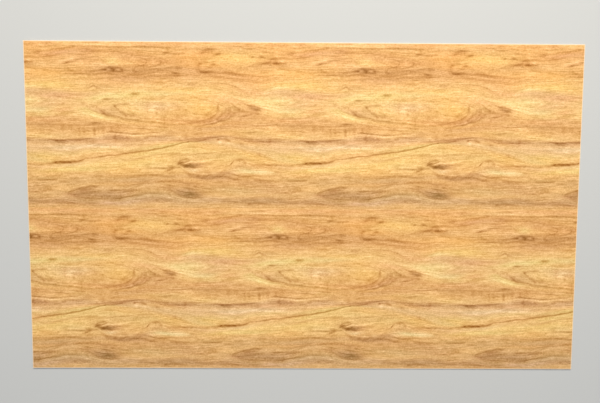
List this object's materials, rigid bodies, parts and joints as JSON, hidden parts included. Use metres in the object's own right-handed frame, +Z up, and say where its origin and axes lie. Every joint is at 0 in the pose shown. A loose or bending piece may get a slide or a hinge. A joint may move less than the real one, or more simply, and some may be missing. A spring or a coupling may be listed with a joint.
{
  "type": "pvc sheet",
  "caption": "Thin flat rectangular sheet of rigid PVC with a printed wood-grain face, square corners and straight sawn edges, for lining walls and covering flat surfaces.",
  "frame": {"origin": "on the floor, under the middle of the sheet as it lies face up; the back face is at Z = 0", "axes": "+X along the grain and the long side, +Y across the sheet, +Z up out of the printed face"},
  "size_m": [2.05, 1.22, 0.003],
  "materials": {
    "sheet": "satin, printed with a golden wood grain on the face; off-white on the back and the cut edges"
  },
  "bodies": {
    "root": {"pvc_sheet": "sheet"}
  },
  "joints": []
}
